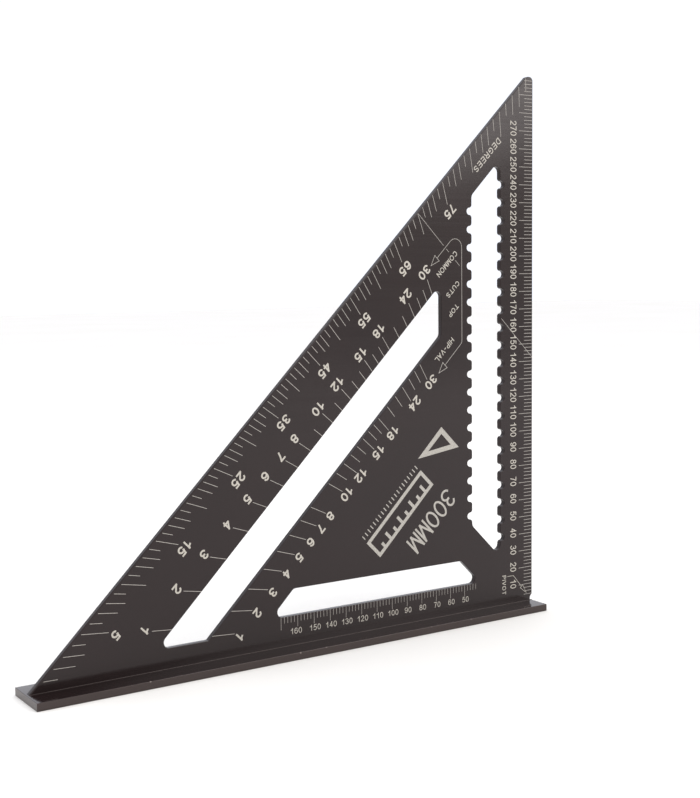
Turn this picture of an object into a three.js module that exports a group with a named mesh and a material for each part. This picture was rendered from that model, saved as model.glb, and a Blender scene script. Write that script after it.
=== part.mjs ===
// A 300 mm rafter square (speed square): a right-angled triangular blade that
// stands upright on a flat fence, so that its end view is an upside-down T.
//
// Frame: millimetres, +Z up. +X points to the square's vertical ruled edge and
// +Y to its back. The origin is the middle of the fence's underside.
import * as THREE from 'three';

// ---- driving dimensions ----

const FENCE = { length: 305.5, width: 29, thickness: 4, chamfer: 0.2, rootStrip: 0.2 };
const BLADE = { thickness: 3, height: 300.3, diagonal: 304.5, tipRadius: 2.4 };

// Windows are given from the pivot, the corner where the vertical edge meets the
// fence: "out" is the distance away from the vertical edge, "up" the height above
// the fence, and a "diagonal" is the out + up of a line parallel to the 45° edge.
const RAFTER_WINDOW = {
  outerDiagonal: 250.7,
  innerDiagonal: 222.2,
  bottomUp: 10.4,
  rightOut: 65.5,
  pointRadius: 3,
  heelRadius: 1,
  elbowRadius: 4,
};
const SCRIBE_SLOT = {
  leftOut: 44.2,
  rightOut: 23.8,
  topDiagonal: 277.5,
  footRise: 4.8,
  cornerRadius: 4,
  pointRadius: 3,
  leftNotches: { firstUp: 54.6, count: 18, centreDepth: 1.45 },
  rightNotches: { firstUp: 39.8, count: 21, centreDepth: 1.1 },
};
const BASE_WINDOW = {
  leftDiagonal: 191.8,
  rightRise: -22.5,
  bottomUp: 15.6,
  topUp: 29.7,
  pointRadius: 3,
  cornerRadius: 3,
};

// A scribing notch is a round bite out of the slot's wall with a softened mouth. How
// deep its centre lies behind the wall is given with each wall's notches.
const NOTCH = { pitch: 10, radius: 1.95, mouthRadius: 1.6 };

// The pivot notch is a round bite out of the vertical edge, just above the fence.
const PIVOT_NOTCH = { radius: 3, centreBeyond: 1.6, centreUp: 1 };

const ARC_STEPS = 2; // Half the number of straight steps in each arc.

// ---- places ----

const pivotX = FENCE.length / 2;
const fenceTop = FENCE.thickness;

const place = (out, up) => new THREE.Vector2(pivotX - out, fenceTop + up);

// ---- outlines ----

// Rounds one corner of an outline with an arc that is tangent to both its sides.
// Three.js joins one arc to the next with a straight line by itself.
function roundCorner(path, before, corner, after, radius) {
  const back = before.clone().sub(corner).normalize();
  const ahead = after.clone().sub(corner).normalize();
  const halfAngle = back.angleTo(ahead) / 2;
  const reach = radius / Math.tan(halfAngle);
  const start = corner.clone().addScaledVector(back, reach);
  const end = corner.clone().addScaledVector(ahead, reach);
  const inward = back.clone().add(ahead).normalize();
  const centre = corner.clone().addScaledVector(inward, radius / Math.sin(halfAngle));
  const turnsRight = back.cross(ahead) > 0;
  path.absarc(
    centre.x,
    centre.y,
    radius,
    start.sub(centre).angle(),
    end.sub(centre).angle(),
    turnsRight,
  );
}

// Traces a closed polygon with rounded corners. Each corner is { at, radius }, and
// "then" may trace extra detail on the side that leaves that corner.
function traceOutline(path, corners) {
  corners.forEach(({ at, radius, then }, index) => {
    const before = corners.at(index - 1).at;
    const after = corners[(index + 1) % corners.length].at;
    roundCorner(path, before, at, after, radius);
    then?.(path);
  });
  path.closePath();
  return path;
}

// Traces one notch in a wall. With turn 0 the wall is followed upwards and the
// metal is on its +X side; with turn PI it is followed downwards, metal on its -X.
function traceNotch(path, wallX, z, centreDepth, turn) {
  const { radius, mouthRadius } = NOTCH;
  const centreStep = centreDepth - mouthRadius;
  const halfMouth = Math.sqrt((radius + mouthRadius) ** 2 - centreStep ** 2);
  const lean = Math.atan2(halfMouth, centreStep);
  const side = Math.cos(turn);
  const mouthX = wallX + side * mouthRadius;
  const mouthZ = side * halfMouth;
  path.absarc(mouthX, z - mouthZ, mouthRadius, turn + Math.PI, turn + lean, true);
  path.absarc(
    wallX + side * centreDepth,
    z,
    radius,
    turn + lean - Math.PI,
    turn + Math.PI - lean,
    false,
  );
  path.absarc(mouthX, z + mouthZ, mouthRadius, turn - lean, turn - Math.PI, true);
}

function notchHeights({ firstUp, count }) {
  return Array.from({ length: count }, (_, index) => fenceTop + firstUp + index * NOTCH.pitch);
}

// The long slanted window that the common and hip rafter scales run along.
function rafterWindow() {
  const { outerDiagonal, innerDiagonal, bottomUp, rightOut } = RAFTER_WINDOW;
  const { pointRadius, heelRadius, elbowRadius } = RAFTER_WINDOW;
  return traceOutline(new THREE.Path(), [
    { at: place(outerDiagonal - bottomUp, bottomUp), radius: pointRadius },
    { at: place(innerDiagonal - bottomUp, bottomUp), radius: heelRadius },
    { at: place(rightOut, innerDiagonal - rightOut), radius: elbowRadius },
    { at: place(rightOut, outerDiagonal - rightOut), radius: pointRadius },
  ]);
}

// The upright slot beside the ruled edge, with scribing notches down both walls.
function scribeSlot() {
  const { leftOut, rightOut, topDiagonal, footRise } = SCRIBE_SLOT;
  const { cornerRadius, pointRadius, leftNotches, rightNotches } = SCRIBE_SLOT;
  const leftX = place(leftOut, 0).x;
  const rightX = place(rightOut, 0).x;
  const upTheRight = (path) => {
    const { centreDepth } = rightNotches;
    notchHeights(rightNotches).forEach((z) => traceNotch(path, rightX, z, centreDepth, 0));
  };
  const downTheLeft = (path) => {
    const { centreDepth } = leftNotches;
    const downwards = notchHeights(leftNotches).reverse();
    downwards.forEach((z) => traceNotch(path, leftX, z, centreDepth, Math.PI));
  };
  return traceOutline(new THREE.Path(), [
    { at: place(rightOut, rightOut + footRise), radius: pointRadius, then: upTheRight },
    { at: place(rightOut, topDiagonal - rightOut), radius: pointRadius },
    { at: place(leftOut, topDiagonal - leftOut), radius: cornerRadius, then: downTheLeft },
    { at: place(leftOut, leftOut + footRise), radius: cornerRadius },
  ]);
}

// The level window just above the fence, whose lower edge carries a short ruler.
function baseWindow() {
  const { leftDiagonal, rightRise, bottomUp, topUp } = BASE_WINDOW;
  const { pointRadius, cornerRadius } = BASE_WINDOW;
  return traceOutline(new THREE.Path(), [
    { at: place(leftDiagonal - bottomUp, bottomUp), radius: pointRadius },
    { at: place(bottomUp - rightRise, bottomUp), radius: cornerRadius },
    { at: place(topUp - rightRise, topUp), radius: cornerRadius },
    { at: place(leftDiagonal - topUp, topUp), radius: cornerRadius },
  ]);
}

// Traces the pivot notch from the blade's foot up to the vertical edge.
function tracePivotNotch(path) {
  const { radius, centreBeyond, centreUp } = PIVOT_NOTCH;
  const centre = place(-centreBeyond, centreUp);
  const footAngle = Math.PI + Math.asin(centreUp / radius);
  const edgeAngle = Math.PI - Math.acos(centreBeyond / radius);
  path.absarc(centre.x, centre.y, radius, footAngle, edgeAngle, true);
}

// The blade's triangle with its blunt tip and its pivot notch.
function bladeOutline() {
  const { height, diagonal, tipRadius } = BLADE;
  const rightFoot = place(0, 0);
  const leftFoot = place(diagonal, 0);
  const tipRight = place(0, height);
  const tipLeft = place(diagonal - height, height);
  const outline = new THREE.Shape();
  tracePivotNotch(outline);
  roundCorner(outline, rightFoot, tipRight, tipLeft, tipRadius);
  roundCorner(outline, tipRight, tipLeft, leftFoot, tipRadius);
  outline.lineTo(...leftFoot);
  outline.closePath();
  outline.holes = [rafterWindow(), scribeSlot(), baseWindow()];
  return outline;
}

// The fence's end view. On top, a point beside each blade face ends the narrow
// strip that the tiny root fillet covers. What is left is the register strip that
// bears on the timber, and it becomes a face of its own.
function fenceSection() {
  const { width, thickness, chamfer, rootStrip } = FENCE;
  const half = width / 2;
  const registerStart = BLADE.thickness / 2 + rootStrip;
  const section = new THREE.Shape();
  section.moveTo(-half + chamfer, 0);
  section.lineTo(half - chamfer, 0);
  section.lineTo(half, chamfer);
  section.lineTo(half, thickness - chamfer);
  section.lineTo(half - chamfer, thickness);
  section.lineTo(registerStart, thickness);
  section.lineTo(-registerStart, thickness);
  section.lineTo(-half + chamfer, thickness);
  section.lineTo(-half, thickness - chamfer);
  section.lineTo(-half, chamfer);
  section.closePath();
  return section;
}

// ---- solids ----

// Extrudes an outline drawn in X and Z through the blade's thickness direction, Y.
function extrudeAcross(outline, depth) {
  const options = { depth, bevelEnabled: false, curveSegments: ARC_STEPS };
  const geometry = new THREE.ExtrudeGeometry(outline, options);
  return geometry.rotateX(Math.PI / 2).translate(0, depth / 2, 0);
}

// Extrudes an end view drawn in Y and Z along the fence, centred on X.
function extrudeAlong(section, length) {
  const options = { depth: length, bevelEnabled: false };
  const geometry = new THREE.ExtrudeGeometry(section, options);
  const endView = new THREE.Matrix4().set(0, 0, 1, 0, 1, 0, 0, 0, 0, 1, 0, 0, 0, 0, 0, 1);
  return geometry.applyMatrix4(endView).translate(-length / 2, 0, 0);
}

// ---- pieces ----

const blackAnodised = { roughness: 0.45, metalness: 0.6 };

function namedMesh(name, geometry, color) {
  const material = new THREE.MeshStandardMaterial({ color, ...blackAnodised });
  const mesh = new THREE.Mesh(geometry, material);
  mesh.name = name;
  return mesh;
}

function blade() {
  return namedMesh('blade', extrudeAcross(bladeOutline(), BLADE.thickness), 0x332f30);
}

// The fence is the flat bar that is held against the edge of the timber.
function fence() {
  return namedMesh('fence', extrudeAlong(fenceSection(), FENCE.length), 0x2b2829);
}

const square = new THREE.Group();
square.add(blade(), fence());

export default square;
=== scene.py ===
"""Looks of a 300 mm rafter square (speed square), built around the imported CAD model.

Everything is drawn in the blade's own millimetres, measured from the pivot, which is the corner
where the vertical ruled edge meets the fence: "out" is the distance away from the vertical edge
and "up" is the height above the fence's top. On the slanted scales, "along" runs down beside
the 45 degree edge from the point nearest the pivot, and "off" is the distance from the pivot
towards that edge.
"""

import math

import bmesh
import bpy
from mathutils import Matrix, Vector


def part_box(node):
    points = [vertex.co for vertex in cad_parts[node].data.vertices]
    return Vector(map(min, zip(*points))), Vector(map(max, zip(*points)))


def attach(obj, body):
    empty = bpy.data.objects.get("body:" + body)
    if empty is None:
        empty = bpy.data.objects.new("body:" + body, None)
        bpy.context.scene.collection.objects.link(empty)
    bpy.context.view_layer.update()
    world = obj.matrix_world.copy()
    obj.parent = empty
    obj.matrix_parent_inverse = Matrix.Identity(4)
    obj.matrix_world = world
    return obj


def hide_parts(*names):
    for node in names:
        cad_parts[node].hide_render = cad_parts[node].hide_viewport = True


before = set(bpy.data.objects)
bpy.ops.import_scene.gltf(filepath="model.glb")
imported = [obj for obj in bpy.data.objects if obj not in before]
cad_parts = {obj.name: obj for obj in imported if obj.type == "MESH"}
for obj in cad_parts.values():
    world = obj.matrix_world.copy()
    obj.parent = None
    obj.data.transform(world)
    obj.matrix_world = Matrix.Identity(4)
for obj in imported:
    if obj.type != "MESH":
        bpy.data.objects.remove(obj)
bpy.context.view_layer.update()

MM = 0.001
BLADE_LOW, BLADE_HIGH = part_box("blade")
FENCE_LOW, FENCE_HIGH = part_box("fence")

# ---- driving dimensions, in millimetres ----

BLADE_THICKNESS = (BLADE_HIGH.y - BLADE_LOW.y) / MM
BLADE_HEIGHT = (BLADE_HIGH.z - BLADE_LOW.z) / MM
BLADE_DIAGONAL = (BLADE_HIGH.x - BLADE_LOW.x) / MM
TIP_RADIUS = 2.4
EDGE_ROUND = 0.22
MITRE_CHAMFER = 0.5

FENCE_LENGTH = (FENCE_HIGH.x - FENCE_LOW.x) / MM
FENCE_WIDTH = (FENCE_HIGH.y - FENCE_LOW.y) / MM
FENCE_THICKNESS = (FENCE_HIGH.z - FENCE_LOW.z) / MM
FENCE_EDGE = 0.25
ROOT_FILLET = 0.2
FILLET_SUNK = 0.05

# A "diagonal" is the out + up of a line parallel to the 45 degree edge, and a "rise" is the
# up - out of a line square to it.
RAFTER_WINDOW = {
    "outer_diagonal": 250.7,
    "inner_diagonal": 222.2,
    "bottom_up": 10.4,
    "right_out": 65.5,
    "point_radius": 3,
    "heel_radius": 1,
    "elbow_radius": 4,
}
SCRIBE_SLOT = {
    "left_out": 44.2,
    "right_out": 23.8,
    "top_diagonal": 277.5,
    "foot_rise": 4.8,
    "corner_radius": 4,
    "point_radius": 3,
    "left_notches": {"first_up": 54.6, "count": 18, "centre_depth": 1.45},
    "right_notches": {"first_up": 39.8, "count": 21, "centre_depth": 1.1},
}
BASE_WINDOW = {
    "left_diagonal": 191.8,
    "right_rise": -22.5,
    "bottom_up": 15.6,
    "top_up": 29.7,
    "point_radius": 3,
    "corner_radius": 3,
}

# A scribing notch is a round bite with a softened mouth. How deep its centre lies behind the
# wall is given with each wall's notches.
NOTCH = {"pitch": 10, "radius": 1.95, "mouth_radius": 1.6}
PIVOT_NOTCH = {"radius": 3, "centre_beyond": 1.6, "centre_up": 1}

# A mark stands this far proud of the blade's face and reaches this far into it. Where marks
# cross, each lift raises one by a hair, so that no two tops share a level.
MARK_PROUD = 0.03
MARK_SUNK = 0.05
MARK_HAIR = 0.003

# Widths of the etched lines: in general, on the edge ruler and on the base ruler.
LINE = 0.27
RULER_LINE = 0.26
BASE_LINE = 0.2

# A bend sharper than this cosine of half its turn has its mitre cut short.
SHARPEST_MITRE = 0.35

# The etched rows lean: a row's off shrinks by this share of its along.
LEAN = 0.0031

# ---- places ----

ROOT2 = math.sqrt(2)
PIVOT_NOTCH_TOP = PIVOT_NOTCH["centre_up"] + math.sqrt(
    PIVOT_NOTCH["radius"] ** 2 - PIVOT_NOTCH["centre_beyond"] ** 2
)

# Arcs turn by at most this angle in each step, and a smaller bend than the second is shaded smooth.
ARC_STEP = math.radians(9)
SMOOTH_BELOW = math.radians(14)

# Takes a drawing in pivot millimetres, x to the right and y up, to the blade's middle plane.
DRAWING = (
    Matrix.Translation((FENCE_HIGH.x, 0, FENCE_HIGH.z))
    @ Matrix.Rotation(math.radians(90), 4, "X")
    @ Matrix.Scale(MM, 4)
)
FACE_LEVEL = BLADE_THICKNESS / 2


def at(out, up):
    """A point of the drawing, from its distance out from the vertical edge and its height."""
    return Vector((-out, up))


def slanted(along, off):
    """A point of the drawing, from its place on the slanted scales."""
    return at((off + along) / ROOT2, (off - along) / ROOT2)


def on_row(along, off):
    """A point of an etched row, which leans a little towards the pivot down the slant."""
    return slanted(along, off - LEAN * along)


def on_ray(slope, off):
    """Where a ray from the pivot crosses an etched row; its slope is along over off."""
    return on_row(slope * off / (1 + LEAN * slope), off)


# ---- outlines ----


def arc(centre, radii, start, end):
    """Points of an arc of a circle or an upright ellipse, with both its ends; angles in radians."""
    steps = max(2, math.ceil(abs(end - start) / ARC_STEP))
    angles = [start + (end - start) * step / steps for step in range(steps + 1)]
    return [
        centre + Vector((radii[0] * math.cos(angle), radii[1] * math.sin(angle)))
        for angle in angles
    ]


def rounded_corner(before, corner, after, radius):
    """The arc that rounds one corner of an outline."""
    back = (before - corner).normalized()
    ahead = (after - corner).normalized()
    half_angle = back.angle(ahead) / 2
    centre = corner + (back + ahead).normalized() * radius / math.sin(half_angle)
    first = corner + back * radius / math.tan(half_angle) - centre
    turn = math.pi - 2 * half_angle
    if back.cross(ahead) > 0:
        turn = -turn
    start = math.atan2(first.y, first.x)
    return arc(centre, (radius, radius), start, start + turn)


def rounded_outline(corners):
    """A closed outline from (corner, radius, extra points on the side that follows) rows."""
    outline = []
    for index, (corner, radius, extra) in enumerate(corners):
        before = corners[index - 1][0]
        after = corners[(index + 1) % len(corners)][0]
        outline += rounded_corner(before, corner, after, radius) + extra
    return outline


def notch(wall_out, up, centre_depth, side):
    """One bite out of a slot wall, followed up the right one (side 1) or down the left (-1)."""
    radius = NOTCH["radius"]
    mouth = NOTCH["mouth_radius"]
    depth_step = centre_depth - mouth
    half_mouth = math.sqrt((radius + mouth) ** 2 - depth_step**2)
    lean = math.atan2(half_mouth, depth_step)
    turn = 0 if side > 0 else math.pi
    wall = at(wall_out, up)
    lip = Vector((side * mouth, side * half_mouth))
    centre = wall + Vector((side * centre_depth, 0))
    return (
        arc(wall + Vector((lip.x, -lip.y)), (mouth, mouth), turn + math.pi, turn + lean)
        + arc(centre, (radius, radius), turn + lean - math.pi, turn + math.pi - lean)[1:-1]
        + arc(wall + lip, (mouth, mouth), turn - lean, turn - math.pi)
    )


def notches(wall_out, row, side):
    """A wall's whole row of notches, in the order in which the outline meets them."""
    heights = [row["first_up"] + index * NOTCH["pitch"] for index in range(row["count"])]
    return sum((notch(wall_out, up, row["centre_depth"], side) for up in heights[::side]), [])


def rafter_window():
    """The long slanted window that both rafter scales run along."""
    window = RAFTER_WINDOW
    foot, side = window["bottom_up"], window["right_out"]
    return rounded_outline([
        (at(window["outer_diagonal"] - foot, foot), window["point_radius"], []),
        (at(window["inner_diagonal"] - foot, foot), window["heel_radius"], []),
        (at(side, window["inner_diagonal"] - side), window["elbow_radius"], []),
        (at(side, window["outer_diagonal"] - side), window["point_radius"], []),
    ])


def scribe_slot():
    """The upright slot beside the ruled edge, with scribing notches down both walls."""
    slot = SCRIBE_SLOT
    left, right = slot["left_out"], slot["right_out"]
    up_the_right = notches(right, slot["right_notches"], 1)
    down_the_left = notches(left, slot["left_notches"], -1)
    return rounded_outline([
        (at(right, right + slot["foot_rise"]), slot["point_radius"], up_the_right),
        (at(right, slot["top_diagonal"] - right), slot["point_radius"], []),
        (at(left, slot["top_diagonal"] - left), slot["corner_radius"], down_the_left),
        (at(left, left + slot["foot_rise"]), slot["corner_radius"], []),
    ])


def base_window():
    """The level window just above the fence, whose lower edge carries a short ruler."""
    window = BASE_WINDOW
    low, high = window["bottom_up"], window["top_up"]
    return rounded_outline([
        (at(window["left_diagonal"] - low, low), window["point_radius"], []),
        (at(low - window["right_rise"], low), window["corner_radius"], []),
        (at(high - window["right_rise"], high), window["corner_radius"], []),
        (at(window["left_diagonal"] - high, high), window["corner_radius"], []),
    ])


def pivot_notch():
    """The round bite at the foot of the vertical edge, from the fence upwards."""
    radius = PIVOT_NOTCH["radius"]
    beyond, up = PIVOT_NOTCH["centre_beyond"], PIVOT_NOTCH["centre_up"]
    foot_angle = math.pi + math.asin(up / radius)
    edge_angle = math.pi - math.acos(beyond / radius)
    return arc(at(-beyond, up), (radius, radius), foot_angle, edge_angle)


def blade_outline():
    """The blade's triangle with its blunt tip and its pivot notch."""
    tip_right = at(0, BLADE_HEIGHT)
    tip_left = at(BLADE_DIAGONAL - BLADE_HEIGHT, BLADE_HEIGHT)
    left_foot = at(BLADE_DIAGONAL, 0)
    right_foot = at(0, 0)
    return (
        [left_foot]
        + pivot_notch()
        + rounded_corner(right_foot, tip_right, tip_left, TIP_RADIUS)
        + rounded_corner(tip_right, tip_left, left_foot, TIP_RADIUS)
    )


# ---- solids ----


def new_piece(name, mesh, material):
    """Adds a finished mesh to the scene as a named piece that moves with the square."""
    work = bmesh.new()
    work.from_mesh(mesh)
    bmesh.ops.recalc_face_normals(work, faces=work.faces)
    work.to_mesh(mesh)
    work.free()
    mesh.shade_smooth()
    mesh.set_sharp_from_angle(angle=SMOOTH_BELOW)
    mesh.materials.clear()
    mesh.materials.append(material)
    piece = bpy.data.objects.new(name, mesh)
    bpy.context.scene.collection.objects.link(piece)
    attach(piece, "root")
    return piece


def extruded(outlines, thickness, edge_round, placing):
    """A plate with the given outline and holes, all its rims rounded, as a mesh set by a matrix."""
    curve = bpy.data.curves.new("outline", "CURVE")
    curve.dimensions = "2D"
    curve.fill_mode = "BOTH"
    curve.extrude = thickness / 2 - edge_round
    curve.bevel_depth = edge_round
    curve.bevel_resolution = 1
    curve.offset = -edge_round
    for outline in outlines:
        spline = curve.splines.new("POLY")
        spline.points.add(len(outline) - 1)
        for point, corner in zip(spline.points, outline):
            point.co = (corner.x, corner.y, 0, 1)
        spline.use_cyclic_u = True
    drawing = bpy.data.objects.new("outline", curve)
    bpy.context.scene.collection.objects.link(drawing)
    graph = bpy.context.evaluated_depsgraph_get()
    mesh = bpy.data.meshes.new_from_object(drawing.evaluated_get(graph))
    bpy.data.objects.remove(drawing)
    mesh.transform(placing)
    return mesh


def planed(mesh, point, normal):
    """Cuts off what lies beyond a plane and closes the cut: a chamfer along a straight edge."""
    on_the_plane = 1e-7
    work = bmesh.new()
    work.from_mesh(mesh)
    cut = bmesh.ops.bisect_plane(
        work,
        geom=work.verts[:] + work.edges[:] + work.faces[:],
        dist=on_the_plane,
        plane_co=point,
        plane_no=normal,
        clear_outer=True,
    )
    rim = [item for item in cut["geom_cut"] if isinstance(item, bmesh.types.BMEdge)]
    bmesh.ops.contextual_create(work, geom=rim)
    work.to_mesh(mesh)
    work.free()
    return mesh


def with_milled_walls(piece, material):
    """Gives a second material to the faces that a cutter left: the rims and the window walls."""
    most_tilted = math.cos(math.radians(60))
    piece.data.materials.append(material)
    for face in piece.data.polygons:
        if abs(face.normal.y) < most_tilted:
            face.material_index = 1


def blade(material, wall_material):
    """The triangular plate, with a 45 degree chamfer along the front of its slanted edge."""
    outlines = [blade_outline(), rafter_window(), scribe_slot(), base_window()]
    mesh = extruded(outlines, BLADE_THICKNESS, EDGE_ROUND, DRAWING)
    chamfer_start = slanted(0, BLADE_DIAGONAL / ROOT2 - MITRE_CHAMFER)
    point = DRAWING @ Vector((chamfer_start.x, chamfer_start.y, FACE_LEVEL))
    mesh = planed(mesh, point, Vector((-1, -ROOT2, 1)))
    piece = new_piece("speed_square_blade", mesh, material)
    with_milled_walls(piece, wall_material)
    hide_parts("blade")
    return piece


def fence_bar_mesh():
    """The flat bar: its end view extruded along X, all its edges rounded."""
    half_width = FENCE_WIDTH / 2
    half_height = FENCE_THICKNESS / 2
    corners = [
        Vector((-half_width, -half_height)),
        Vector((half_width, -half_height)),
        Vector((half_width, half_height)),
        Vector((-half_width, half_height)),
    ]
    end_view = rounded_outline([(corner, FENCE_EDGE, []) for corner in corners])
    lengthwise = Matrix(((0, 0, 1, 0), (1, 0, 0, 0), (0, 1, 0, 0), (0, 0, 0, 1)))
    middle = Matrix.Translation((0, 0, FENCE_HIGH.z / 2))
    return extruded([end_view], FENCE_LENGTH, EDGE_ROUND, middle @ Matrix.Scale(MM, 4) @ lengthwise)


def root_fillet(side):
    """One concave fillet between fence and blade, whose left end follows the 45 degree edge."""
    corner_y = BLADE_THICKNESS / 2 + ROOT_FILLET
    centre = Vector((corner_y, ROOT_FILLET))
    curve = arc(centre, (ROOT_FILLET, ROOT_FILLET), -math.pi / 2, -math.pi)
    foot = Vector((BLADE_THICKNESS / 2, -FILLET_SUNK))
    section = [Vector((corner_y, -FILLET_SUNK))] + curve + [foot]
    left = [DRAWING @ Vector((up - BLADE_DIAGONAL, up, -side * y)) for y, up in section]
    right = [DRAWING @ Vector((0, up, -side * y)) for y, up in section]
    count = len(section)
    faces = []
    for index in range(count):
        after = (index + 1) % count
        faces.append((index, after, after + count, index + count))
    faces += [tuple(range(count)), tuple(range(count, 2 * count))]
    return left + right, faces


def fence(material):
    """The flat bar, with the fillets that join it to the blade's two faces."""
    mesh = fence_bar_mesh()
    work = bmesh.new()
    work.from_mesh(mesh)
    for side in (-1, 1):
        places, faces = root_fillet(side)
        points = [work.verts.new(place) for place in places]
        for face in faces:
            work.faces.new([points[index] for index in face])
    work.to_mesh(mesh)
    work.free()
    piece = new_piece("speed_square_fence", mesh, material)
    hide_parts("fence")
    return piece


# ---- lettering: each character is a few strokes in a cell one unit wide and one high ----


def bow(x, y, across, high, start, end):
    """An elliptical stroke, with its angles in degrees."""
    return arc(Vector((x, y)), (across, high), math.radians(start), math.radians(end))


def strokes(*paths):
    """A character's strokes, each a path of points."""
    return [[Vector(point) for point in path] for path in paths]


def turned(paths):
    """The strokes upside down in their cell, which makes a 9 out of a 6."""
    return [[Vector((1 - point.x, 1 - point.y)) for point in path] for path in paths]


def characters():
    """The width, in digits, and the strokes of each character that the marks need."""
    oval = strokes(bow(0.5, 0.5, 0.5, 0.5, 0, 360))
    six = strokes(
        bow(0.5, 0.31, 0.5, 0.31, 0, 360),
        bow(0.53, 0.5, 0.53, 0.5, 42, 180) + [(0, 0.31)],
    )
    stem = [(0, 0), (0, 1)]
    far_stem = [(1, 0), (1, 1)]
    bowl = [(0, 1), (0.6, 1)] + bow(0.6, 0.74, 0.38, 0.26, 90, -90)[1:] + [(0, 0.48)]
    round_side = bow(0.45, 0.5, 0.55, 0.5, 90, -90)
    return {
        "0": (1, oval),
        "1": (0.9, strokes([(0.7, 0), (0.7, 1)], [(0.7, 0.97), (0.48, 0.8), (0.08, 0.7)])),
        "2": (1, strokes(
            bow(0.5, 0.72, 0.48, 0.28, 170, -38) + [(0.02, 0.03)],
            [(0, 0), (1, 0)],
        )),
        "3": (1, strokes(
            bow(0.48, 0.76, 0.42, 0.24, 155, -90),
            bow(0.48, 0.27, 0.52, 0.27, 90, -155),
        )),
        "4": (1, strokes(
            [(0.74, 0), (0.74, 1)],
            [(0.72, 0.97), (0.03, 0.3)],
            [(0, 0.27), (1, 0.27)],
        )),
        "5": (1, strokes(
            [(0.92, 1), (0.22, 1), (0.1, 0.5)],
            bow(0.48, 0.33, 0.52, 0.33, 140, -140),
        )),
        "6": (1, six),
        "7": (0.95, strokes([(0, 1), (1, 1)], [(0.97, 0.95), (0.6, 0.5), (0.36, 0)])),
        "8": (1, strokes(bow(0.5, 0.76, 0.42, 0.24, 0, 360), bow(0.5, 0.27, 0.5, 0.27, 0, 360))),
        "9": (1, turned(six)),
        "A": (1.1, strokes([(0, 0), (0.5, 1)], [(0.5, 1), (1, 0)], [(0.2, 0.35), (0.8, 0.35)])),
        "C": (1.15, strokes(bow(0.54, 0.5, 0.54, 0.5, 48, 312))),
        "D": (1.1, strokes([(0.45, 0), (0, 0), (0, 1), (0.45, 1)] + round_side[1:])),
        "E": (1, strokes([(1, 0), (0, 0), (0, 1), (1, 1)], [(0, 0.5), (0.9, 0.5)])),
        "G": (1.2, strokes(bow(0.52, 0.5, 0.52, 0.5, 50, 325) + [(1, 0.45), (0.55, 0.45)])),
        "H": (1.1, strokes(stem, far_stem, [(0, 0.5), (1, 0.5)])),
        "I": (0.05, strokes([(0.5, 0), (0.5, 1)])),
        "L": (0.9, strokes([(0, 1), (0, 0), (1, 0)])),
        "M": (1.15, strokes(stem, [(0, 1), (0.5, 0.05)], [(0.5, 0.05), (1, 1)], far_stem)),
        "N": (1.1, strokes(stem, [(0, 1), (1, 0)], far_stem)),
        "O": (1.3, oval),
        "P": (1, strokes(stem, bowl)),
        "R": (1.05, strokes(stem, bowl, [(0.55, 0.48), (1, 0)])),
        "S": (1.05, strokes(
            bow(0.5, 0.75, 0.45, 0.25, 28, 270) + bow(0.5, 0.25, 0.5, 0.25, 90, -152)[1:],
        )),
        "T": (1.05, strokes([(0, 1), (1, 1)], [(0.5, 1), (0.5, 0)])),
        "U": (1.1, strokes([(0, 1)] + bow(0.5, 0.33, 0.5, 0.33, 180, 360) + [(1, 1)])),
        "V": (1.1, strokes([(0, 1), (0.5, 0)], [(0.5, 0), (1, 1)])),
        "-": (0.55, strokes([(0, 0.42), (1, 0.42)])),
    }


CHARACTERS = characters()


def mark_levels(lift):
    """How deep a mark's foot and how high its top lie, from the blade's middle plane."""
    return FACE_LEVEL - MARK_SUNK, FACE_LEVEL + MARK_PROUD + lift * MARK_HAIR


def directions(path, closed):
    """The unit directions in which a path reaches and leaves each of its points."""
    count = len(path)
    sides = [(path[(index + 1) % count] - path[index]).normalized() for index in range(count)]
    reaching = [sides[index - 1] for index in range(count)]
    leaving = list(sides)
    if not closed:
        reaching[0] = leaving[0]
        leaving[-1] = reaching[-1]
    return zip(reaching, leaving)


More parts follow.
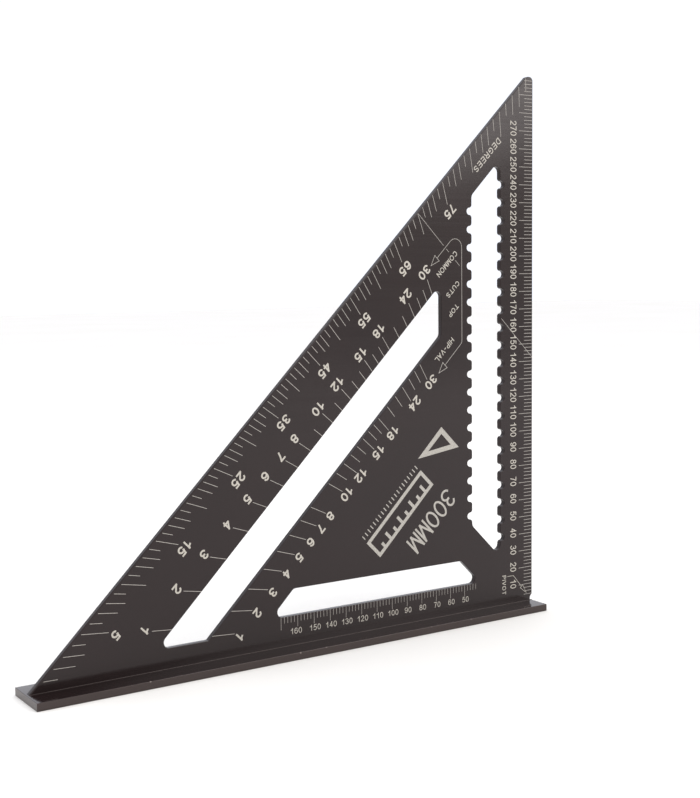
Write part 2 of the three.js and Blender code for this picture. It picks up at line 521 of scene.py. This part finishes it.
class Marks:
    """A group of marks on the blade's front: closed prisms that stand a little proud of it."""

    def __init__(self):
        self.points = []
        self.faces = []

    def prism(self, outline, lift):
        """A flat-topped solid over an anticlockwise outline."""
        first = len(self.points)
        count = len(outline)
        for level in mark_levels(lift):
            self.points += [Vector((point.x, point.y, level)) for point in outline]
        low = list(range(first, first + count))
        high = list(range(first + count, first + 2 * count))
        for index in range(count):
            after = (index + 1) % count
            self.faces.append((low[index], low[after], high[after], high[index]))
        self.faces.append(tuple(reversed(low)))
        self.faces.append(tuple(high))

    def ring(self, left, right, lift):
        """A closed line between two rims of equally many points."""
        first = len(self.points)
        count = len(left)
        for rim in (left, right):
            for level in mark_levels(lift):
                self.points += [Vector((point.x, point.y, level)) for point in rim]
        low_left, high_left, low_right, high_right = range(first, first + 4 * count, count)
        walls = (
            (low_left, high_left),
            (high_left, high_right),
            (high_right, low_right),
            (low_right, low_left),
        )
        for index in range(count):
            after = (index + 1) % count
            for here, there in walls:
                self.faces.append((here + index, here + after, there + after, there + index))

    def line(self, path, width=LINE, closed=False, lift=0):
        """A line of even width along a path, with mitred bends."""
        left, right = [], []
        for point, (into, out_of) in zip(path, directions(path, closed)):
            tangent = (into + out_of).normalized()
            reach = width / 2 / max(SHARPEST_MITRE, tangent.dot(out_of))
            aside = Vector((-tangent.y, tangent.x)) * reach
            left.append(point + aside)
            right.append(point - aside)
        if closed:
            self.ring(left, right, lift)
        else:
            self.prism(right + left[::-1], lift)

    def text(self, words, middle, reading, height, weight, cell, gap):
        """Lettering centred on a point, reading along a direction.

        The weight is the stroke's width, the cell the width of a digit and the gap the space
        between two characters, all in millimetres.
        """
        reading = reading.normalized()
        upward = Vector((-reading.y, reading.x))
        widths = [CHARACTERS[letter][0] * (cell - weight) + weight for letter in words]
        start = -(sum(widths) + gap * (len(words) - 1)) / 2
        for letter, width in zip(words, widths):
            for lift, path in enumerate(CHARACTERS[letter][1]):
                placed = [
                    middle
                    + reading * (start + weight / 2 + point.x * (width - weight))
                    + upward * (weight / 2 - height / 2 + point.y * (height - weight))
                    for point in path
                ]
                self.stroke(placed, weight, lift)
            start += width + gap

    def stroke(self, path, weight, lift):
        """One stroke: a ring if its ends meet, or else run on by half its weight at both ends."""
        ends_meet = (path[0] - path[-1]).length < weight / 100
        if ends_meet:
            self.line(path[:-1], weight, True, lift)
            return
        first = path[0] + (path[0] - path[1]).normalized() * weight / 2
        last = path[-1] + (path[-1] - path[-2]).normalized() * weight / 2
        self.line([first] + path[1:-1] + [last], weight, False, lift)

    def piece(self, name, material):
        """Makes one piece of all the marks in the group."""
        mesh = bpy.data.meshes.new(name)
        mesh.from_pydata([DRAWING @ point for point in self.points], [], self.faces)
        mesh.validate()
        return new_piece(name, mesh, material)


# ---- the marks ----

DOWN_THE_SLANT = Vector((-1, -1))
DOWNWARDS = Vector((0, -1))
RIGHTWARDS = Vector((1, 0))

# Lettering: height, width of the strokes, width of a digit and space between two characters.
BOLD_FACE = {"height": 5.0, "weight": 0.92, "cell": 3.75, "gap": 0.75}
RULER_FACE = {"height": 4.4, "weight": 0.5, "cell": 2.45, "gap": 0.5}
BASE_FACE = {"height": 3.1, "weight": 0.35, "cell": 2.0, "gap": 0.5}
FIRM_FACE = {"height": 3.5, "weight": 0.5, "cell": 2.66, "gap": 0.9}
TALL_FACE = {"height": 3.0, "weight": 0.42, "cell": 2.2, "gap": 0.55}
LOW_FACE = {"height": 2.8, "weight": 0.42, "cell": 2.2, "gap": 0.55}
PIVOT_FACE = {"height": 2.8, "weight": 0.4, "cell": 2.0, "gap": 0.5}
LARGE_FACE = {"height": 11.0, "weight": 1.2, "cell": 6.65, "gap": 0.95}

# Where the degree ticks begin and end, and where the numerals' middles lie: each stands at "off"
# but as far along as its ray from the pivot has got at "ray_off". All are offs.
DEGREE_TICKS = {"outer": 214.6, "short": 209.6, "medium": 206.7, "long": 204.0}
DEGREE_LABELS = {"off": 200.1, "ray_off": 202}

# The rafter scales: a tick runs from the window at "foot" to "labelled" or "plain", and a numeral
# stands at "label", placed along as above and then nudged up the slant.
LABELLED_RISES = (1, 2, 3, 4, 5, 6, 7, 8, 10, 12, 15, 18, 24, 30)
COMMON_RISES = (9, 11, 13, 14, 16, 17, 20, 22, 26, 28)
HIP_RISES = (11, 13, 14, 16, 17, 20, 22, 26, 28)
COMMON_SCALE = {
    "run": 12,
    "foot": 177.4,
    "labelled": 185.6,
    "plain": 183.7,
    "label": 189.4,
    "ray_off": 188,
    "nudge": 0.3,
}
HIP_SCALE = {
    "run": 17,
    "foot": 157.0,
    "labelled": 147.6,
    "plain": 149.9,
    "label": 144.55,
    "ray_off": 147.6,
    "nudge": 0.8,
}

# The edge ruler: ups of the last tick and numeral, outs of the ticks' two ends and of the
# numerals' middles, and how far a numeral stands above its tick.
EDGE_RULER = {
    "last_tick": 298,
    "last_numeral": 270,
    "tick_start": 0.4,
    "short": 6.2,
    "long": 10,
    "numeral_out": 14.15,
    "numeral_rise": 1.2,
}

# The base ruler: outs of the first and last tick and numeral, the ticks' drop from the window and
# their lengths, the numerals' up, and how much further out than its tick a numeral stands.
BASE_RULER = {
    "first_tick": 42,
    "last_tick": 170,
    "first_numeral": 50,
    "last_numeral": 160,
    "drop": 0.15,
    "short": 3.2,
    "long": 5.9,
    "last": 6.4,
    "numeral_up": 7.4,
    "numeral_shift": -0.6,
    "last_shift": 1,
}

# The words that name the scales: along, off and lettering. The size mark's place is also an along
# and an off, but the pivot word's is an out and an up.
SCALE_WORDS = {
    "DEGREES": (-157.4, 204.1, FIRM_FACE),
    "COMMON": (-95, 181.9, TALL_FACE),
    "CUTS": (-88, 169.3, LOW_FACE),
    "TOP": (-80, 160.9, LOW_FACE),
    "HIP-VAL": (-60.4, 150.15, TALL_FACE),
}
SIZE_MARK_PLACE = (12.6, 90.5)
PIVOT_WORD_PLACE = (21, 11.5)

# The guide loop: offs of its two arms, out of its upright side, radii of its two bends, and each
# arrowhead's base and tip along its arm.
GUIDE_LOOP = {
    "upper_off": 189.0,
    "lower_off": 144.1,
    "side_out": 51.3,
    "upper_bend": 4.6,
    "lower_bend": 3,
    "upper_head": (-92.4, -86.7),
    "lower_head": (-54.7, -48.8),
    "half_head": 2.1,
}

# The alignment line: its points lie this much higher up than out, and its dashes start and end at
# these offs.
ALIGNMENT_RISE = 142
ALIGNMENT_DASHES = ((214.5, 190.6), (188.0, 185.5), (179.4, 175.2), (132.9, 100.6))
ALIGNMENT_LINE = LINE * 0.9

# The emblem: each part's start and end along, its near and far off and its line's width.
EMBLEM_SQUARE = {"start": -27.4, "end": -9.5, "near": 107.5, "far": 120.6, "line": 2.7}
EMBLEM_RULER = {"start": -1.6, "end": 47.6, "near": 104.7, "far": 115.1, "line": 1.9}
EMBLEM_TICKS = {"count": 8, "long": 5.6, "short": 3.6, "line": 1.7}
EMBLEM_COMB = {"count": 21, "near": 118.2, "far": 120.8, "line": 0.55}

# The pivot arrow's points as (out, up), and its head's share of the sloping stretch.
PIVOT_ARROW = {
    "tip": (4.3, 4.8),
    "bend": (14.1, 16.2),
    "end": (18.6, 16.2),
    "head_share": 0.37,
    "half_head": 1.2,
}


def degree_ticks(material):
    """A tick at every degree from 1 to 89, on rays that all meet at the pivot."""
    marks = Marks()
    for degree in range(1, 90):
        slope = 1 / math.tan(math.radians(degree + 45))
        if degree % 5 == 0:
            inner = DEGREE_TICKS["long"]
        elif degree % 5 in (2, 3):
            inner = DEGREE_TICKS["medium"]
        else:
            inner = DEGREE_TICKS["short"]
        marks.line([on_ray(slope, inner), on_ray(slope, DEGREE_TICKS["outer"])])
    return marks.piece("degree_ticks", material)


def degree_numerals(material):
    """The numbers 5, 15, 25 and so on, up to 75."""
    marks = Marks()
    for degree in range(5, 80, 10):
        along = DEGREE_LABELS["ray_off"] / math.tan(math.radians(degree + 45))
        place = on_row(along, DEGREE_LABELS["off"])
        marks.text(str(degree), place, DOWN_THE_SLANT, **BOLD_FACE)
    return marks.piece("degree_numerals", material)


def rafter_ticks(name, scale, plain_rises, material):
    """Ticks for rafters that rise so many inches over the scale's run, on rays from the pivot."""
    marks = Marks()
    for rise in LABELLED_RISES + plain_rises:
        slope = (scale["run"] - rise) / (scale["run"] + rise)
        foot = scale["foot"]
        end = scale["labelled"] if rise in LABELLED_RISES else scale["plain"]
        marks.line([slanted(slope * foot, foot), slanted(slope * end, end)])
    return marks.piece(name, material)


def rafter_numerals(name, scale, material):
    """The rises that have a number, beside their ticks."""
    marks = Marks()
    for rise in LABELLED_RISES:
        slope = (scale["run"] - rise) / (scale["run"] + rise)
        along = scale["ray_off"] * slope - scale["nudge"]
        marks.text(str(rise), on_row(along, scale["label"]), DOWN_THE_SLANT, **BOLD_FACE)
    return marks.piece(name, material)


def edge_ruler(line_material, number_material):
    """The millimetre ruler up the vertical edge, with its zero at the fence's top."""
    ruler = EDGE_RULER
    ticks = Marks()
    for up in range(2, ruler["last_tick"] + 1, 2):
        end = ruler["long"] if up % 10 == 0 else ruler["short"]
        if up > PIVOT_NOTCH_TOP:
            ticks.line([at(end, up), at(ruler["tick_start"], up)], RULER_LINE)
    numerals = Marks()
    for up in range(10, ruler["last_numeral"] + 1, 10):
        place = at(ruler["numeral_out"], up + ruler["numeral_rise"])
        numerals.text(str(up), place, DOWNWARDS, **RULER_FACE)
    return [
        ticks.piece("edge_ruler_ticks", line_material),
        numerals.piece("edge_ruler_numerals", number_material),
    ]


def base_ruler(line_material, number_material):
    """The ruler that hangs from the base window's lower edge, also measured from the pivot."""
    ruler = BASE_RULER
    top = BASE_WINDOW["bottom_up"] - ruler["drop"]
    ticks = Marks()
    for out in range(ruler["first_tick"], ruler["last_tick"] + 1, 2):
        length = ruler["long"] if out % 10 == 0 else ruler["short"]
        if out == ruler["last_tick"]:
            length = ruler["last"]
        ticks.line([at(out, top), at(out, top - length)], BASE_LINE)
    numerals = Marks()
    for out in range(ruler["first_numeral"], ruler["last_numeral"] + 1, 10):
        is_last = out == ruler["last_numeral"]
        shift = ruler["last_shift"] if is_last else ruler["numeral_shift"]
        numerals.text(str(out), at(out + shift, ruler["numeral_up"]), RIGHTWARDS, **BASE_FACE)
    return [
        ticks.piece("base_ruler_ticks", line_material),
        numerals.piece("base_ruler_numerals", number_material),
    ]


def scale_words(material):
    """The plain words that name each scale."""
    marks = Marks()
    for word, (along, off, face) in SCALE_WORDS.items():
        marks.text(word, slanted(along, off), DOWN_THE_SLANT, **face)
    return marks.piece("scale_words", material)


def guide_loop(material):
    """The line that ties both rafter scales together, with an open arrowhead at each end."""
    loop = GUIDE_LOOP
    upper, lower, side = loop["upper_off"], loop["lower_off"], loop["side_out"]
    upper_start = slanted(loop["upper_head"][0], upper)
    upper_corner = at(side, upper * ROOT2 - side)
    lower_corner = at(side, lower * ROOT2 - side)
    lower_end = slanted(loop["lower_head"][0], lower)
    marks = Marks()
    marks.line(
        [upper_start]
        + rounded_corner(upper_start, upper_corner, lower_corner, loop["upper_bend"])
        + rounded_corner(upper_corner, lower_corner, lower_end, loop["lower_bend"])
        + [lower_end]
    )
    half = loop["half_head"]
    for (base, tip), off in ((loop["upper_head"], upper), (loop["lower_head"], lower)):
        head = [slanted(base, off - half), slanted(base, off + half), slanted(tip, off)]
        marks.line(head, closed=True, lift=1)
    return marks.piece("guide_loop", material)


def alignment_line(material):
    """The broken line square to the slanted edge."""
    marks = Marks()
    along = -ALIGNMENT_RISE / ROOT2
    for outer, inner in ALIGNMENT_DASHES:
        marks.line([slanted(along, outer), slanted(along, inner)], ALIGNMENT_LINE, lift=2)
    return marks.piece("alignment_line", material)


def size_mark(material):
    """The tool's nominal size, in the largest lettering."""
    marks = Marks()
    marks.text("300MM", slanted(*SIZE_MARK_PLACE), DOWN_THE_SLANT, **LARGE_FACE)
    return marks.piece("size_mark", material)


def emblem_square(marks):
    """The outline of a right-angled triangle."""
    square = EMBLEM_SQUARE
    corners = [
        slanted(square["start"], square["near"]),
        slanted(square["start"], square["far"]),
        slanted(square["end"], square["far"]),
    ]
    marks.line(corners, square["line"], closed=True)


def emblem_ruler(marks):
    """The outline of a short ruler with long and short ticks."""
    start, end = EMBLEM_RULER["start"], EMBLEM_RULER["end"]
    near, far = EMBLEM_RULER["near"], EMBLEM_RULER["far"]
    corners = [slanted(start, near), slanted(start, far), slanted(end, far), slanted(end, near)]
    marks.line(corners, EMBLEM_RULER["line"], closed=True)
    count = EMBLEM_TICKS["count"]
    for index in range(1, count + 1):
        along = start + (end - start) * index / (count + 1)
        depth = EMBLEM_TICKS["long"] if index % 2 else EMBLEM_TICKS["short"]
        tick = [slanted(along, near), slanted(along, near + depth)]
        marks.line(tick, EMBLEM_TICKS["line"], lift=1)


def emblem_comb(marks):
    """A row of fine ticks, as long as the ruler."""
    start, end = EMBLEM_RULER["start"], EMBLEM_RULER["end"]
    near, far, count = EMBLEM_COMB["near"], EMBLEM_COMB["far"], EMBLEM_COMB["count"]
    for index in range(count):
        along = start + (end - start) * index / (count - 1)
        marks.line([slanted(along, near), slanted(along, far)], EMBLEM_COMB["line"])


def emblem(material):
    """A plain pictogram: a small square beside a short ruler, over a row of fine ticks."""
    marks = Marks()
    emblem_square(marks)
    emblem_ruler(marks)
    emblem_comb(marks)
    return marks.piece("emblem", material)


def pivot_mark(material):
    """The word beside the pivot corner, and a bent leader whose open arrowhead points there."""
    tip, bend, end = [at(*PIVOT_ARROW[key]) for key in ("tip", "bend", "end")]
    base = tip.lerp(bend, PIVOT_ARROW["head_share"])
    aside = (bend - tip).orthogonal().normalized() * PIVOT_ARROW["half_head"]
    marks = Marks()
    marks.text("PIVOT", at(*PIVOT_WORD_PLACE), DOWNWARDS, **PIVOT_FACE)
    marks.line([base, bend, end])
    marks.line([base - aside, base + aside, tip], closed=True, lift=1)
    return marks.piece("pivot_mark", material)


# ---- materials ----

DARK_ANODISING = (0.0060, 0.0020, 0.0025)
LIGHT_ANODISING = (0.0090, 0.0035, 0.0040)
BARE_METAL = (0.20, 0.17, 0.16)


def shader(name):
    """A new material with its node tree and its main shader."""
    material = bpy.data.materials.new(name)
    material.use_nodes = True
    tree = material.node_tree
    return material, tree, tree.nodes["Principled BSDF"]


def noise(tree, scale, detail, stretch=(1, 1, 1)):
    """Noise over the object's own metres; a small stretch along an axis makes streaks along it."""
    place = tree.nodes.new("ShaderNodeTexCoord")
    mapping = tree.nodes.new("ShaderNodeMapping")
    mapping.inputs["Scale"].default_value = stretch
    texture = tree.nodes.new("ShaderNodeTexNoise")
    texture.inputs["Scale"].default_value = scale
    texture.inputs["Detail"].default_value = detail
    tree.links.new(place.outputs["Object"], mapping.inputs["Vector"])
    tree.links.new(mapping.outputs["Vector"], texture.inputs["Vector"])
    return texture.outputs["Fac"]


def spread(tree, value, low, high, start=0.3, end=0.7):
    """Maps a stretch of values, by default the middle of a noise, onto a range of plain numbers."""
    node = tree.nodes.new("ShaderNodeMapRange")
    node.inputs["From Min"].default_value = start
    node.inputs["From Max"].default_value = end
    node.inputs["To Min"].default_value = low
    node.inputs["To Max"].default_value = high
    tree.links.new(value, node.inputs["Value"])
    return node.outputs["Result"]


def blended(tree, factor, first, second):
    """A mix of two colours, either of which may be another node's output."""
    node = tree.nodes.new("ShaderNodeMix")
    node.data_type = "RGBA"
    tree.links.new(factor, node.inputs["Factor"])
    for socket, colour in (("A", first), ("B", second)):
        target = [item for item in node.inputs if item.name == socket and item.type == "RGBA"][0]
        if isinstance(colour, tuple):
            target.default_value = (*colour, 1)
        else:
            tree.links.new(colour, target)
    return [item for item in node.outputs if item.type == "RGBA"][0]


def bumped(tree, surface, height, distance, strength):
    """Roughens a surface by a height; the distance is in metres."""
    node = tree.nodes.new("ShaderNodeBump")
    node.inputs["Distance"].default_value = distance
    node.inputs["Strength"].default_value = strength
    tree.links.new(height, node.inputs["Height"])
    tree.links.new(node.outputs["Normal"], surface.inputs["Normal"])


def combined(tree, operation, first, second):
    """The sum, difference or product of two values, by a math node."""
    node = tree.nodes.new("ShaderNodeMath")
    node.operation = operation
    tree.links.new(first, node.inputs[0])
    tree.links.new(second, node.inputs[1])
    return node.outputs["Value"]


def chipped_edge(tree):
    """Where the fence's front top edge has lost its black: a few small nicks, by a fine noise."""
    place = tree.nodes.new("ShaderNodeTexCoord")
    parts = tree.nodes.new("ShaderNodeSeparateXYZ")
    tree.links.new(place.outputs["Object"], parts.inputs["Vector"])
    # Z - Y grows towards the front top edge, where it is greatest.
    outward = combined(tree, "SUBTRACT", parts.outputs["Z"], parts.outputs["Y"])
    edge = (FENCE_THICKNESS + FENCE_WIDTH / 2) * MM
    near_edge = spread(tree, outward, 0, 1, start=edge - 1.0 * MM, end=edge - 0.6 * MM)
    nicks = spread(tree, noise(tree, scale=250, detail=1), 0, 1, start=0.71, end=0.75)
    return combined(tree, "MULTIPLY", near_edge, nicks)


def anodised(name, roughness, specular, tint, chipped=False):
    """Satin black anodised aluminium: faint lines along the extrusion, clouds and fine grain."""
    material, tree, surface = shader(name)
    clouds = noise(tree, scale=22, detail=3)
    lines = noise(tree, scale=900, detail=2, stretch=(0.012, 1, 1))
    grain = noise(tree, scale=3200, detail=2)
    body = blended(tree, spread(tree, clouds, 0, 1), DARK_ANODISING, LIGHT_ANODISING)
    colour = blended(tree, spread(tree, grain, 0, 0.35), body, LIGHT_ANODISING)
    if chipped:
        colour = blended(tree, chipped_edge(tree), colour, BARE_METAL)
    tree.links.new(colour, surface.inputs["Base Color"])
    tree.links.new(spread(tree, lines, *roughness), surface.inputs["Roughness"])
    surface.inputs["Specular IOR Level"].default_value = specular
    surface.inputs["Specular Tint"].default_value = (*tint, 1)
    bumped(tree, surface, grain, distance=0.00002, strength=0.25)
    return material


def face_finish():
    """The blade's two flat faces."""
    name = "black_anodised_blade"
    return anodised(name, roughness=(0.12, 0.18), specular=0.44, tint=(1, 0.94, 0.93))


def milled_finish():
    """The blade's sawn and milled walls, smoother than its faces and a little duller."""
    name = "black_anodised_milled"
    return anodised(name, roughness=(0.07, 0.12), specular=0.3, tint=(1, 0.93, 0.89))


def fence_finish():
    """The fence, the brightest of the three, with worn nicks along one edge."""
    name = "black_anodised_fence"
    tint = (1, 0.87, 0.83)
    return anodised(name, roughness=(0.10, 0.16), specular=0.80, tint=tint, chipped=True)


def etched(name, dark, light):
    """Laser-etched marks: matt, off-white and slightly mottled."""
    material, tree, surface = shader(name)
    mottle = noise(tree, scale=1400, detail=3)
    colour = blended(tree, spread(tree, mottle, 0, 1), dark, light)
    tree.links.new(colour, surface.inputs["Base Color"])
    surface.inputs["Roughness"].default_value = 0.75
    surface.inputs["Specular IOR Level"].default_value = 0.2
    bumped(tree, surface, mottle, distance=0.00001, strength=0.2)
    return material


def lettering_ink():
    """The small numerals and words, the brightest of the marks."""
    return etched("etched_lettering", (0.425, 0.397, 0.352), (0.56, 0.532, 0.482))


def line_ink():
    """The ticks and thin lines, the dimmest of the marks."""
    return etched("etched_lines", (0.34, 0.318, 0.293), (0.45, 0.428, 0.40))


def broad_ink():
    """The size mark and the emblem."""
    return etched("etched_large_marks", (0.36, 0.34, 0.31), (0.475, 0.455, 0.42))


def pale_floor():
    """An off-white studio floor."""
    material, tree, surface = shader("pale_floor")
    clouds = noise(tree, scale=3, detail=2)
    colour = blended(tree, spread(tree, clouds, 0, 1), (0.93, 0.92, 0.895), (0.95, 0.94, 0.925))
    tree.links.new(colour, surface.inputs["Base Color"])
    surface.inputs["Roughness"].default_value = 0.7
    surface.inputs["Specular IOR Level"].default_value = 0.1
    return material


# ---- stage, light and camera ----


def floor():
    """A floor far larger than the square, in metres."""
    half = 6
    mesh = bpy.data.meshes.new("floor")
    corners = [(-half, -half, 0), (half, -half, 0), (half, half, 0), (-half, half, 0)]
    mesh.from_pydata(corners, [], [(0, 1, 2, 3)])
    mesh.materials.append(pale_floor())
    plane = bpy.data.objects.new("floor", mesh)
    bpy.context.scene.collection.objects.link(plane)


def soft_lamp(name, place, aim, size, energy):
    """A round area lamp, with its place, aim and diameter in metres and its energy in watts."""
    lamp = bpy.data.lights.new(name, "AREA")
    lamp.shape = "DISK"
    lamp.size = size
    lamp.energy = energy
    holder = bpy.data.objects.new(name, lamp)
    holder.location = place
    direction = Vector(aim) - Vector(place)
    holder.rotation_euler = direction.to_track_quat("-Z", "Y").to_euler()
    bpy.context.scene.collection.objects.link(holder)


def studio_light():
    """A bright room, cool behind the square and warm in front, with two large lamps."""
    world = bpy.data.worlds.new("bright_room")
    world.use_nodes = True
    tree = world.node_tree
    direction = tree.nodes.new("ShaderNodeTexCoord")
    parts = tree.nodes.new("ShaderNodeSeparateXYZ")
    tree.links.new(direction.outputs["Generated"], parts.inputs["Vector"])
    behind = spread(tree, parts.outputs["Y"], 0, 1, start=-0.6, end=0.6)
    warm, cool = (1.08, 1.05, 1.02), (1.03, 1.06, 1.14)
    colour = blended(tree, behind, warm, cool)
    tree.links.new(colour, tree.nodes["Background"].inputs["Color"])
    bpy.context.scene.world = world
    soft_lamp("overhead_lamp", (-0.3, -0.2, 2.0), aim=(0, 0, 0), size=1.6, energy=9)
    soft_lamp("front_lamp", (1.1, -1.5, 0.9), aim=(0, 0, 0.2), size=1.1, energy=8)


def camera():
    """The viewpoint: place in metres, and heading from +Y to +X, tilt and roll in degrees."""
    place = (-0.3531, -0.5760, 0.1955)
    heading, tilt, roll = 33.474, -5.452, -0.655
    view = bpy.data.cameras.new("camera")
    view.sensor_width = 36
    view.lens = 59.545
    view.clip_start = 0.01
    holder = bpy.data.objects.new("camera", view)
    holder.matrix_world = (
        Matrix.Translation(place)
        @ Matrix.Rotation(math.radians(-heading), 4, "Z")
        @ Matrix.Rotation(math.radians(90 + tilt), 4, "X")
        @ Matrix.Rotation(math.radians(roll), 4, "Z")
    )
    bpy.context.scene.collection.objects.link(holder)
    bpy.context.scene.camera = holder


def build():
    """Makes the square, its marks and the studio around it."""
    bpy.context.scene.view_settings.view_transform = "Standard"
    blade(face_finish(), milled_finish())
    fence(fence_finish())
    ink, fine, broad = lettering_ink(), line_ink(), broad_ink()
    degree_ticks(fine)
    degree_numerals(ink)
    rafter_ticks("common_rafter_ticks", COMMON_SCALE, COMMON_RISES, fine)
    rafter_numerals("common_rafter_numerals", COMMON_SCALE, ink)
    rafter_ticks("hip_rafter_ticks", HIP_SCALE, HIP_RISES, fine)
    rafter_numerals("hip_rafter_numerals", HIP_SCALE, ink)
    edge_ruler(fine, ink)
    base_ruler(fine, ink)
    scale_words(ink)
    guide_loop(fine)
    alignment_line(fine)
    size_mark(broad)
    emblem(broad)
    pivot_mark(ink)
    floor()
    studio_light()
    camera()


build()
